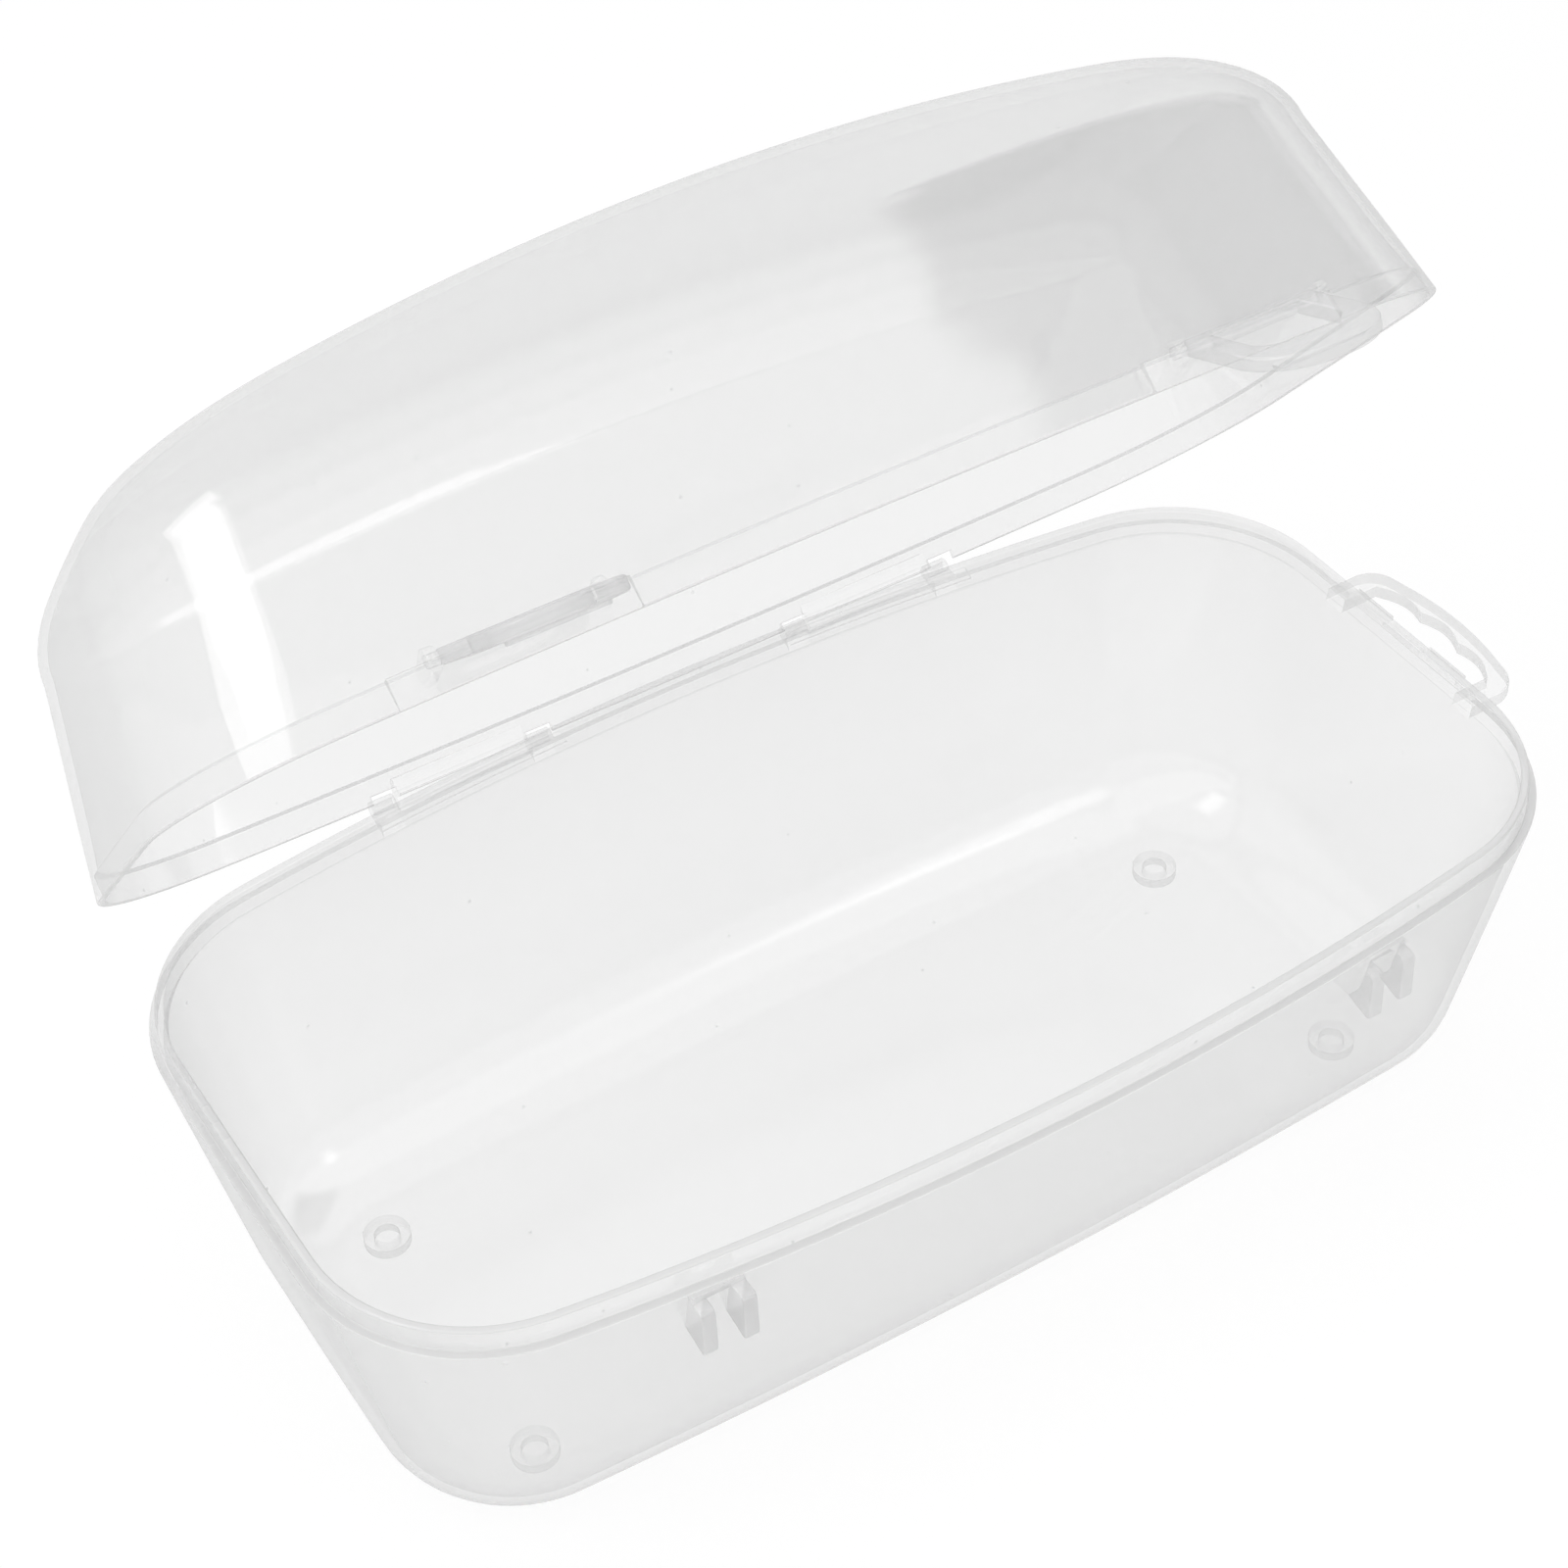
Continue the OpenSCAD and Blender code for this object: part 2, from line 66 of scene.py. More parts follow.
LID_H = 55.8
ROOF_BOW = 500.0
ROOF_CROSS = 900.0
LID_LEAN = 5.6
ROOF_EDGE_W = 17.8
ROOF_EDGE_START = 0.66
SKIRT_H = 4.5
SKIRT_LEAN = LID_LEAN * SKIRT_H / (SKIRT_H + ROOF_EDGE_START * (LID_H - SKIRT_H))
SKIRT_PLAY = 0.15
LID_OPEN = 48.8

# How much smaller the lid's corner radius gets for each millimetre of lean, and up to the roof

CORNER_PER_LEAN = 0.3
CORNER_TO_ROOF = 1.4

# Hinges

HINGE_X = 38.0
HINGE_LEN = 32.0
PIN_R = 0.8
BARREL_R = 1.5
KNUCKLE_LEN = 4.0
HINGE_OUT = 0.5
HINGE_DROP = 0.3
STRIP_T = 0.5
STRIP_H = 2.6
STRIP_DROP = 0.4

# Ring latches, lugs and pads; the openings are in degrees from hanging, left -1 and right 1

LATCH_X = 57.2
LATCH_W = 22.2
LATCH_LEN = 22.2
LATCH_T = 2.2
LATCH_R = 10.4
WINDOW_W = 14.4
WINDOW_R = 4.6
WINDOW_TOP = 1.4
GRIP_T = 0.6
GRIP_H = 2.0
PIVOT_R = 0.9
PIVOT_UP = 3.9
PIVOT_OUT = 0.2
LUG_T = 1.6
LUG_WALL = 1.0
PAD_T = 0.5
PAD_LEN = 34.0
LATCH_OPEN = {-1: 82.0, 1: 62.0}

# Fins

FIN_T = 2.3
FIN_PITCH = 6.2
FIN_OUT = 3.1
FIN_H = 8.9
FIN_BAR_H = 1.35
FIN_HOOK = 1.4

# Carry loop and its lips

LOOP_DROP = 3.2
LOOP_T = 2.6
LOOP_LEN = 36.6
LOOP_OUT = 11.7
LOOP_BAND = 2.4
LOOP_BOW = 52.0
LOOP_CORNER = 5.0
SCALLOP_D = 1.1
SCALLOP_PITCH = 9.4
LIP_OUT = 2.1
LIP_LEN = 8.8
LIP_T = 1.2

# Clearances, and how deep a piece roots in the wall that carries it

SEAT_GAP = 0.3
SHUT_GAP = 0.05
PIN_PLAY = 0.05
CATCH_PLAY = 0.4
ROOT_DEPTH = 0.4

# Small radii and drops at the shoulder, the rim and the skirt, and how far cutters reach past what they cut

SHOULDER_EDGE = 0.3
SHOULDER_ROOT = 0.2
RIM_EDGE = 0.45
JOG_EDGE = 0.7
JOG_DROP = 0.6
SKIRT_EDGE = 0.35
CUT_EDGE = 0.01
CUT_FLARE = 0.4
CUT_REACH = 1.0

# Fineness: steps of a quarter outline at its end, corner and long side, then the sides of round things and
# the widest turn, in degrees, that is shaded smooth

OUTLINE_STEPS = (6, 20, 28)
ROUND_SIDES = 40
PIN_SIDES = 32
BARREL_SIDES = 48
SMOOTH_BELOW = 32.0

# Places worked out from the sizes

SHOULDER_Z = FOOT_H + TRAY_H - RIM_H
RIM_TOP = FOOT_H + TRAY_H
HINGE_Y = HALF_W + HINGE_OUT
HINGE_Z = SHOULDER_Z - HINGE_DROP
KNUCKLE_X = HINGE_LEN / 2 - KNUCKLE_LEN / 2
BARREL_LEN = HINGE_LEN - 2 * KNUCKLE_LEN - 2 * SEAT_GAP
PIVOT_Y = -(HALF_W + PIVOT_OUT)
PIVOT_Z = SHOULDER_Z + PIVOT_UP
LUG_X = LATCH_W / 2 + SEAT_GAP + LUG_T / 2
LUG_R = PIVOT_R + LUG_WALL

# Outlines


def arc(c, r, t0, t1, n, last=False):
    """n steps of an arc in degrees, with its end point only if last is set."""
    return [(c[0] + r * math.cos(math.radians(t0 + (t1 - t0) * i / n)),
             c[1] + r * math.sin(math.radians(t0 + (t1 - t0) * i / n)))
            for i in range(n + (1 if last else 0))]


def circle(r, sides=ROUND_SIDES):
    """A circle round the origin, anticlockwise."""
    return arc((0, 0), r, 0, 360, sides)


def outline(a, b, end_bow, side_bow, r):
    """A rounded rectangle whose sides bow out, as smooth arcs, anticlockwise from +X."""
    c1, c2 = (0.0, b - side_bow), (a - end_bow, 0.0)
    p, q = side_bow - r, end_bow - r
    dx, dy = c2[0] - c1[0], c2[1] - c1[1]
    d = math.hypot(dx, dy)
    ux, uy = dx / d, dy / d
    x = (p * p - q * q + d * d) / (2 * d)
    h = math.sqrt(max(p * p - x * x, 0.0))
    m = max(((c1[0] + ux * x - uy * s * h, c1[1] + uy * x + ux * s * h) for s in (1, -1)), key=sum)
    t_end = math.degrees(math.atan2(m[1], m[0] - c2[0]))
    t_side = math.degrees(math.atan2(m[1] - c1[1], m[0]))
    end_steps, corner_steps, side_steps = OUTLINE_STEPS
    quarter = arc(c2, end_bow, 0, t_end, end_steps) + arc(m, r, t_end, t_side, corner_steps)
    quarter += arc(c1, side_bow, t_side, 90, side_steps, last=True)
    there, back = quarter[:-1], quarter[:0:-1]
    return there + [(-x, y) for x, y in back] + [(-x, -y) for x, y in there] + [(x, -y) for x, y in back]


def joint_outline(e):
    """The outline where lid and tray meet, moved in by e."""
    return outline(HALF_LEN - e, HALF_W - e, END_BOW - e, SIDE_BOW - e, CORNER_R - e)


def side_y(x, e=0.0):
    """How far out the long side of the joint outline is at x, moved in by e."""
    r = SIDE_BOW - e
    return HALF_W - e - r + math.sqrt(r * r - x * x)


def inset(points, d):
    """A closed anticlockwise polygon moved in by d; a very sharp corner moves by less than a true mitre."""
    sharpest = 0.4
    out = []
    n = len(points)
    for i in range(n):
        p0, p1, p2 = Vector(points[i - 1]), Vector(points[i]), Vector(points[(i + 1) % n])
        a, b = (p1 - p0).normalized(), (p2 - p1).normalized()
        na, nb = Vector((-a.y, a.x)), Vector((-b.y, b.x))
        m = (na + nb).normalized()
        out.append(tuple(p1 + m * (d / max(m.dot(na), sharpest))))
    return out


def rounded(points, radii, steps=4):
    """An open polyline with its inner corners rounded."""
    out = [points[0]]
    for i in range(1, len(points) - 1):
        p0, p1, p2 = Vector(points[i - 1]), Vector(points[i]), Vector(points[i + 1])
        a, b = (p0 - p1).normalized(), (p2 - p1).normalized()
        half = a.angle(b) / 2
        r = radii[i - 1]
        t = r / math.tan(half)
        c = p1 + (a + b).normalized() * (r / math.sin(half))
        s, e = p1 + a * t - c, p1 + b * t - c
        turn = math.atan2(s.x * e.y - s.y * e.x, s.dot(e))
        for k in range(steps + 1):
            cw, sw = math.cos(turn * k / steps), math.sin(turn * k / steps)
            out.append((c.x + s.x * cw - s.y * sw, c.y + s.x * sw + s.y * cw))
    out.append(points[-1])
    return out


# Meshes


def mesh_object(name, verts, faces):
    """An object from points in millimetres, with its faces turned outward."""
    me = bpy.data.meshes.new(name)
    me.from_pydata([tuple(c * 0.001 for c in v) for v in verts], [], faces)
    me.validate()
    ob = bpy.data.objects.new(name, me)
    bpy.context.scene.collection.objects.link(ob)
    bm = bmesh.new()
    bm.from_mesh(me)
    bmesh.ops.recalc_face_normals(bm, faces=bm.faces)
    bm.to_mesh(me)
    bm.free()
    return ob


def loft(name, rings, first=None, last=None):
    """A closed solid from rings of one length, capped with a face or drawn in to a middle point."""
    n, k = len(rings[0]), len(rings)
    verts = [p for ring in rings for p in ring]
    faces = [(j * n + i, j * n + (i + 1) % n, (j + 1) * n + (i + 1) % n, (j + 1) * n + i)
             for j in range(k - 1) for i in range(n)]
    for middle, base in ((first, 0), (last, (k - 1) * n)):
        if middle is None:
            faces.append(tuple(range(base, base + n)))
        else:
            verts.append(middle)
            faces += [(len(verts) - 1, base + i, base + (i + 1) % n) for i in range(n)]
    return mesh_object(name, verts, faces)


def plate(name, points, t, place, edge, steps=3):
    """A plate of thickness t with rounded edges; place turns (u, v, w) into a point."""
    levels = []
    for k in range(steps + 1):
        a = math.pi / 2 * k / steps
        levels.append((edge * (1 - math.sin(a)), -t / 2 + edge * (1 - math.cos(a))))
    levels += [(e, -w) for e, w in reversed(levels)]
    rings = [[place(u, v, w) for u, v in inset(points, e)] for e, w in levels]
    return loft(name, rings)


def flared(name, points, t, place, edge, steps=3):
    """A cutter that leaves rounded edges where it comes out of a plate of thickness t."""
    levels = [(-edge - CUT_FLARE, -t / 2 - CUT_REACH)]
    for k in range(steps + 1):
        a = math.pi / 2 * k / steps
        levels.append((-edge * (1 - math.sin(a)), -t / 2 + edge * (1 - math.cos(a))))
    levels += [(e, -w) for e, w in reversed(levels)]
    rings = [[place(u, v, w) for u, v in inset(points, e)] for e, w in levels]
    return loft(name, rings)


def rod(name, start, length, r, sides, edge):
    """A round bar with softened ends, from start along X."""
    ends = [(r - edge, 0.0), (r - edge * 0.3, edge * 0.3), (r, edge)]
    levels = ends + [(q, length - w) for q, w in reversed(ends)]
    x, y, z = start
    return loft(name, [[(x + w, y + u, z + v) for u, v in circle(q, sides)] for q, w in levels])


def carve(name, base, adds=(), cuts=()):
    """base with solids added and cut, as one mesh."""
    for tool, how in [(a, "UNION") for a in adds] + [(c, "DIFFERENCE") for c in cuts]:
        mod = base.modifiers.new(tool.name, "BOOLEAN")
        mod.operation = how
        mod.solver = "MANIFOLD"
        mod.object = tool
    bpy.context.view_layer.update()
    me = bpy.data.meshes.new_from_object(base.evaluated_get(bpy.context.evaluated_depsgraph_get()))
    me.name = name
    ob = bpy.data.objects.new(name, me)
    bpy.context.scene.collection.objects.link(ob)
    for used in [base, *adds, *cuts]:
        bpy.data.objects.remove(used)
    return ob


def soften(ob):
    """Smooth shading, with real edges kept sharp and flat faces kept flat."""
    me = ob.data
    me.shade_smooth()
    me.set_sharp_from_angle(angle=math.radians(SMOOTH_BELOW))
    even = ob.modifiers.new("even_normals", "WEIGHTED_NORMAL")
    even.keep_sharp = True


# Tray


def depth_share(z):
    """0 at the tray's shoulder and above it, 1 at its floor."""
    return min(1.0, max(0.0, (SHOULDER_Z - z) / (SHOULDER_Z - FOOT_H)))


def tray_bow(u):
    """Radius of the tray's long sides at a depth share."""
    return 1 / (1 / SIDE_BOW + (1 / FOOT_BOW - 1 / SIDE_BOW) * u)


def tray_ring(z, e):
    """The tray's outline at the height z, moved in by e."""
    u = depth_share(z)
    bow = tray_bow(u)
    pts = outline(HALF_LEN - END_TAPER * u - e, HALF_W - SIDE_TAPER * u - e, END_BOW - e, bow - e,
                  CORNER_R + (FOOT_CORNER_R - CORNER_R) * u - e)
    return [(x, y, z) for x, y in pts]


def tray_side_y(x, z):
    """How far out the tray's long side is at x and the height z."""
    u = depth_share(z)
    bow = tray_bow(u)
    return HALF_W - SIDE_TAPER * u - bow + math.sqrt(bow * bow - x * x)


def bottom_edge(t, steps=10):
    """The rounded bottom edge in section, from the wall to the floor, t inside the outer one."""
    return arc((BOTTOM_R, FOOT_H + BOTTOM_R), BOTTOM_R - t, 180, 270, steps, last=True)


def tray_shell():
    """Floor, walls and rim as one surface, from the middle of the underside to that of the floor."""
    rim_in = SHOULDER_W + WALL
    jog = SHOULDER_Z - JOG_DROP
    z0 = FOOT_H + BOTTOM_R
    walls = [z0 + (SHOULDER_Z - z0) * f for f in (0.25, 0.5, 0.75)]
    corners = [(0, walls[2]), (0, SHOULDER_Z), (SHOULDER_W, SHOULDER_Z), (SHOULDER_W, RIM_TOP),
               (rim_in, RIM_TOP), (rim_in, jog), (WALL, jog - SHOULDER_W), (WALL, walls[2] - 1)]
    profile = list(reversed(bottom_edge(0))) + [(0, walls[0]), (0, walls[1])]
    profile += rounded(corners, [SHOULDER_EDGE, SHOULDER_ROOT, RIM_EDGE, RIM_EDGE, JOG_EDGE, JOG_EDGE])
    profile += [(WALL, walls[1]), (WALL, walls[0])] + bottom_edge(WALL)
    rings = [tray_ring(z, e) for e, z in profile]
    floors = [[(x * s, y * s, z) for x, y, z in rings[-1]] for s in (0.66, 0.33)]
    under = [[(x * s, y * s, z) for x, y, z in rings[0]] for s in (0.33, 0.66)]
    return loft("tray_shell", under + rings + floors, (0, 0, FOOT_H), (0, 0, FOOT_H + WALL))


def foot(sx, sy):
    """A ring foot's outer form, rooted in the floor."""
    root = 0.5
    height = FOOT_H + root
    return plate("foot", circle(FOOT_R), height,
                 lambda u, v, w: (sx * FOOT_DX + u, sy * FOOT_DY + v, w + height / 2), edge=0.25)


def foot_hole(sx, sy):
    """A ring foot's hole, with a rounded mouth and bottom."""
    edge = 0.2
    below = 1.0
    r = FOOT_HOLE_R
    steps = ((r + edge + below, -below), (r + edge, 0.0), (r, edge), (r, FOOT_H - edge), (r - edge, FOOT_H))
    rings = [[(sx * FOOT_DX + u, sy * FOOT_DY + v, z) for u, v in circle(q)] for q, z in steps]
    return loft("foot_hole", rings)


def along_x(x, half, steps):
    """Even places along the case, half before x to half after it."""
    return [x - half + 2 * half * i / steps for i in range(steps + 1)]


def across(x, front=True):
    """Places a plate in the plane across the case at x: u is the distance out, v is z."""
    s = -1 if front else 1
    return lambda u, v, w: (x + w, s * u, v)


def anticlockwise(points):
    """The points, turned round if they run clockwise."""
    a = sum(p[0] * q[1] - q[0] * p[1] for p, q in zip(points, points[1:] + points[:1]))
    return points if a > 0 else points[::-1]


def fin(x):
    """One of a pair of fins, which the ring of a latch snaps over. Its foot slopes up to the wall."""
    front = side_y(x) + FIN_OUT
    top = SHOULDER_Z - FIN_BAR_H
    low = top - FIN_H
    root = low + FIN_HOOK
    soft = 0.8
    near = 0.25
    sunk = 0.2
    pts = [(tray_side_y(x, SHOULDER_Z) - WALL / 2, SHOULDER_Z - WALL / 2), (side_y(x) - sunk, top),
           (front - soft, top), (front - near, top - near), (front, top - soft), (front, low + soft),
           (front - near, low + near), (front - soft, low), (tray_side_y(x, root) - WALL / 2, root)]
    return plate("fin", anticlockwise(pts), FIN_T, across(x), edge=0.22)


def fin_bar(x):
    """The low bar over a pair of fins, just under the shoulder."""
    proud, drop, slope = 0.35, 0.2, 0.6
    face = side_y(x) + proud
    top = SHOULDER_Z - drop
    low = SHOULDER_Z - FIN_BAR_H
    pts = [(face - WALL, top), (face, top), (face, low), (face - WALL, low - slope)]
    return plate("fin_bar", anticlockwise(pts), FIN_PITCH + FIN_T, across(x), edge=0.15)


def loop_bow_x(y):
    """The carry loop's outer edge at y."""
    return HALF_LEN + LOOP_OUT - LOOP_BOW + math.sqrt(LOOP_BOW ** 2 - y * y)


def loop_inner_x(y):
    """The carry loop's scalloped inner edge at y."""
    return loop_bow_x(y) - LOOP_BAND - SCALLOP_D * (1 - abs(math.cos(math.pi * y / SCALLOP_PITCH)))


def loop_root_x(y):
    """Middle of the end wall's thickness at y, at the loop's height."""
    u = depth_share(SHOULDER_Z - LOOP_DROP)
    return HALF_LEN - END_TAPER * u - WALL / 2 - y * y / (2 * END_BOW)


def carry_loop():
    """A bowed band with rounded corners, scalloped inside and rooted in the end wall."""
    half, r = LOOP_LEN / 2, LOOP_CORNER
    y0 = half - r
    x0 = loop_bow_x(y0) - r
    open_half = SCALLOP_PITCH * 1.5
    bow_end, bow_steps, inner_steps = 10, 8, 72
    pts = [(loop_root_x(half), -half)] + arc((x0, -y0), r, -90, -bow_end, 12, True)
    pts += [(loop_bow_x(y0 * i / bow_steps), y0 * i / bow_steps) for i in range(1 - bow_steps, bow_steps)]
    pts += arc((x0, y0), r, bow_end, 90, 12, True)
    pts += [(loop_root_x(half), half), (loop_root_x(open_half), open_half)]
    ys = [open_half * (1 - 2 * i / inner_steps) for i in range(inner_steps + 1)]
    pts += [(loop_inner_x(y), y) for y in ys] + [(loop_root_x(open_half), -open_half)]
    z = SHOULDER_Z - LOOP_DROP
    return plate("carry_loop", anticlockwise(pts), LOOP_T, lambda u, v, w: (u, v, z + w), edge=0.35)


def loop_lip(side):
    """One of the shoulder's two short lips above the loop."""
    y = side * (SCALLOP_PITCH / 2 + LIP_LEN / 2)
    pts = [(HALF_LEN - WALL, -LIP_LEN / 2), (HALF_LEN + LIP_OUT, -LIP_LEN / 2),
           (HALF_LEN + LIP_OUT, LIP_LEN / 2), (HALF_LEN - WALL, LIP_LEN / 2)]
    z = SHOULDER_Z - LIP_T / 2
    return plate("loop_lip", pts, LIP_T, lambda u, v, w: (u, y + v, z + w), edge=0.25)


def hinge_rod(name, x, length, r, sides, edge):
    """A round bar on the hinge line with its middle at x."""
    return rod(name, (x - length / 2, HINGE_Y, HINGE_Z), length, r, sides, edge)


def knuckle_web(x):
    """Joins a knuckle to the back wall, just under the shoulder."""
    below = 0.01
    low = HINGE_Z - 2 * BARREL_R
    top = SHOULDER_Z - below
    pts = [(HINGE_Y, HINGE_Z - BARREL_R), (HINGE_Y, HINGE_Z), (HINGE_Y - BARREL_R, top),
           (side_y(x) - WALL / 2, top), (tray_side_y(x, low) - WALL / 2, low)]
    return plate("knuckle_web", anticlockwise(pts), KNUCKLE_LEN, across(x, False), edge=0.12)


def hinge_strip(x):
    """A low strip on the rim's inner face, a little longer at its foot."""
    rim_in = SHOULDER_W + WALL
    top = RIM_TOP - STRIP_DROP
    low = top - STRIP_H
    foot_edge, top_edge = 0.12, 0.25
    foot_longer, top_longer = 1.0, 0.1
    levels = ((low, foot_longer, -foot_edge), (low + foot_edge, foot_longer, 0),
              (top - top_edge, top_longer, 0), (top, 0, -top_edge))
    rings = []
    for z, out, deep in levels:
        half = HINGE_LEN / 2 + out
        xs = along_x(x, half, 16)
        pts = [(q, side_y(q, rim_in - WALL / 2)) for q in xs]
        pts += [(q, side_y(q, rim_in + STRIP_T + deep)) for q in xs[::-1]]
        rings.append([(u, v, z) for u, v in pts])
    return loft("hinge_strip", rings)


# Lid, made closed and then swung open


def roof_z(x, y):
    """Height of the crowned roof over the joint."""
    return LID_H - x * x / (2 * ROOF_BOW) - y * y / (2 * ROOF_CROSS)


def lid_ring(e, g, t):
    """The lid's outline moved in by e, at the share g of the way from the skirt to the roof, less t."""
    top = (SKIRT_H + g * (LID_H - SKIRT_H)) / LID_H
    corner = CORNER_R - CORNER_PER_LEAN * e - CORNER_TO_ROOF * top
    pts = outline(HALF_LEN - e, HALF_W - e, END_BOW, SIDE_BOW, corner)
    return [(x, y, SHOULDER_Z + SKIRT_H + g * (roof_z(x, y) - SKIRT_H) - t) for x, y in pts]


def lid_wall(t):
    """The leaning wall and the rounded edge of the roof, as a surface t inside the outer one."""
    wall_steps, edge_steps = 4, 14
    rings = [lid_ring(SKIRT_LEAN + (LID_LEAN - SKIRT_LEAN) * i / wall_steps + t,
                      ROOF_EDGE_START * i / wall_steps, 0) for i in range(wall_steps + 1)]
    for i in range(1, edge_steps + 1):
        a = math.pi / 2 * i / edge_steps
        rings.append(lid_ring(LID_LEAN + ROOF_EDGE_W * (1 - math.cos(a)) + t * math.cos(a),
                              ROOF_EDGE_START + (1 - ROOF_EDGE_START) * math.sin(a), t * math.sin(a)))
    return rings


def roof_rings(t):
    """Rings that draw in over the roof to its middle."""
    edge = lid_ring(LID_LEAN + ROOF_EDGE_W, 1, 0)
    return [[(x * s, y * s, SHOULDER_Z + roof_z(x * s, y * s) - t) for x, y, z in edge]
            for s in (0.9, 0.8, 0.7, 0.6, 0.5, 0.4, 0.3, 0.2, 0.1)]


def lid_shell():
    """Both faces of the lid, joined by the stepped skirt that slips over the tray's rim. The ends of the
    skirt's section only give the directions in which it meets the walls."""
    step = SHOULDER_W - SKIRT_PLAY
    wall_up, wall_in = 1.0, 0.12
    skirt = rounded([(SKIRT_LEAN + WALL + wall_in, SKIRT_H + wall_up), (SKIRT_LEAN + WALL, SKIRT_H),
                     (step, RIM_H + SEAT_GAP), (step, SHUT_GAP), (0, SHUT_GAP), (SKIRT_LEAN, SKIRT_H)],
                    [SHOULDER_ROOT, SHOULDER_ROOT, SHOULDER_EDGE, SKIRT_EDGE])
    outer = lid_wall(0) + roof_rings(0)
    inner = lid_wall(WALL) + roof_rings(WALL)
    band = [[(x, y, SHOULDER_Z + z) for x, y in joint_outline(e)] for e, z in skirt[1:-1]]
    rings = inner[:0:-1] + band + outer[1:]
    return loft("lid_shell", rings, (0, 0, SHOULDER_Z + LID_H - WALL), (0, 0, SHOULDER_Z + LID_H))


def latch_pad(sx):
    """A raised strip of the skirt behind a latch."""
    xs = along_x(sx * LATCH_X, PAD_LEN / 2, 20)
    pts = [(q, -side_y(q, -PAD_T)) for q in xs]
    pts += [(q, -side_y(q, SKIRT_LEAN + ROOT_DEPTH)) for q in xs[::-1]]
    z = SHOULDER_Z + SHUT_GAP + SKIRT_H / 2
    return plate("latch_pad", anticlockwise(pts), SKIRT_H, lambda u, v, w: (u, v, z + w), edge=0.2)


def pivot_lug(x):
    """A lug round one end of a latch's axle, rooted in the lid's wall."""
    root = side_y(x) - SKIRT_LEAN - ROOT_DEPTH
    brace, above, steps = 1, 0.2, 14
    pts = [(root, PIVOT_Z - LUG_R - brace)]
    pts += arc((-PIVOT_Y, PIVOT_Z), LUG_R, -90, 90, steps, True) + [(root, PIVOT_Z + above)]
    return plate("pivot_lug", anticlockwise(pts), LUG_T, across(x), edge=0.25)


def hinge_leaf(sx):
    """Joins the lid's barrel to its skirt, cut away inside so that the rim has its room."""
    top = SHOULDER_Z + 2 * BARREL_R
    low = SHOULDER_Z + SHUT_GAP
    back = HINGE_Y - BARREL_R
    depth = 8
    front = HALF_W - depth
    pts = [(HINGE_Y, HINGE_Z), (HINGE_Y, HINGE_Z + BARREL_R), (back, top), (front, top), (front, low),
           (back, low)]
    leaf = plate("hinge_leaf", anticlockwise(pts), BARREL_LEN, across(sx * HINGE_X, False), edge=0.15)
    buried = 0.1
    inside = joint_outline(SHOULDER_W - SKIRT_PLAY - buried)
    reach = 20
    core = loft("rim_room", [[(u, v, SHOULDER_Z + z) for u, v in inside] for z in (-reach, reach)])
    return carve("leaf", leaf, (), [core])


# Milkiness: how milky a face is seen face on, and what an edge-on view adds. Cut edges and fins are whiter
# than the walls, as in the photograph, and lugs and hinges are clearer

MARKS = ("face_on", "edge_on")
LOOP_EDGE = (0.3, 0.3)
LOOP_FLAT = (0.08, 0.2)
LOOP_ROOT = (0.05, 0.1)
FOOT = (0.2, 0.3)
HINGE = (0.03, 0.25)
FINS = {-1: (0.4, 0.15), 1: (0.25, 0.15)}
PAD_END = (0.5, 0.5)
PAD = (0.1, 0.3)
LUG = (0.0, 0.2)
SKIRT_FOOT = (0.4, 0.3)
AXLE = (0.1, 0.2)
RING = {-1: (0.27, 0.25), 1: (0.18, 0.25)}

# The walls. What an edge-on view adds outside changes with how far a face looks to the right. That change is
# painted
# shade: the tray's outer faces turn greyer where they look left, and the lid's where they look right

TRAY_MILK = 0.1
LID_MILK = 0.13
SKIRT_MILK = 0.15
INSIDE_EDGE_ON = 0.2
OUTSIDE_EDGE_ON = 0.4
TRAY_SHADE_TO_RIGHT = -0.12
LID_SHADE_TO_RIGHT = 0.2

# The rim, at its back and at its front, and what the left end adds to its sides. Beyond the values at the
# back, the change towards the front and what the left end adds are painted shade

RIM_TOP_MILK_AND_SHADE = (0.1, 0.85)
RIM_SIDE_MILK_AND_SHADE = (0.12, 0.03)
RIM_EDGE_ON_AND_SHADE = (0.15, 0.45)
RIM_LEFT_SHADE = 0.15

# Where that painted shade changes, in millimetres. The left end sets in this far from the middle, and the
# front from this far back, along the case and at its left end. The veil of the rim reaches down a little on
# its inside

LEFT_END_FROM = 80
LEFT_END_SPAN = 20
RIM_FRONT_FROM = (10, 25)
RIM_FRONT_SPAN = (50, 25)
RIM_VEIL_DROP = 2.6

# How far a face has to be past a wall to count as past it

TOUCH = 0.12


def mark_veil(ob, rule):
    """Marks each face by a rule, which gets its middle, in millimetres, and its normal, before any swing."""
    marks = [rule(f.center * 1000, f.normal) for f in ob.data.polygons]
    for k, name in enumerate(MARKS):
        values = ob.data.attributes.new(name, "FLOAT", "FACE")
        values.data.foreach_set("value", [m[k] for m in marks])


def within(value):
    """The value, kept from 0 to 1."""
    return min(1.0, max(0.0, value))


def blend(pair, share):
    """From the first of a pair, at share 0, to the second."""
    return pair[0] + (pair[1] - pair[0]) * share


def by_hinge(c):
    """Whether a place is on a hinge, behind the back wall."""
    behind = tray_side_y(c.x, c.z)
    if c.z > SHOULDER_Z:
        behind = max(behind, side_y(c.x))
    return c.y > behind + TOUCH and abs(abs(c.x) - HINGE_X) < HINGE_LEN / 2 + 0.5


def by_fins(c):
    """Whether a place is on a pair of fins or its bar, before the front wall."""
    near = abs(abs(c.x) - LATCH_X) < (FIN_PITCH + FIN_T) / 2 + TOUCH
    return near and c.y < 0 and c.z > SHOULDER_Z / 2 and -c.y > tray_side_y(c.x, c.z) + TOUCH


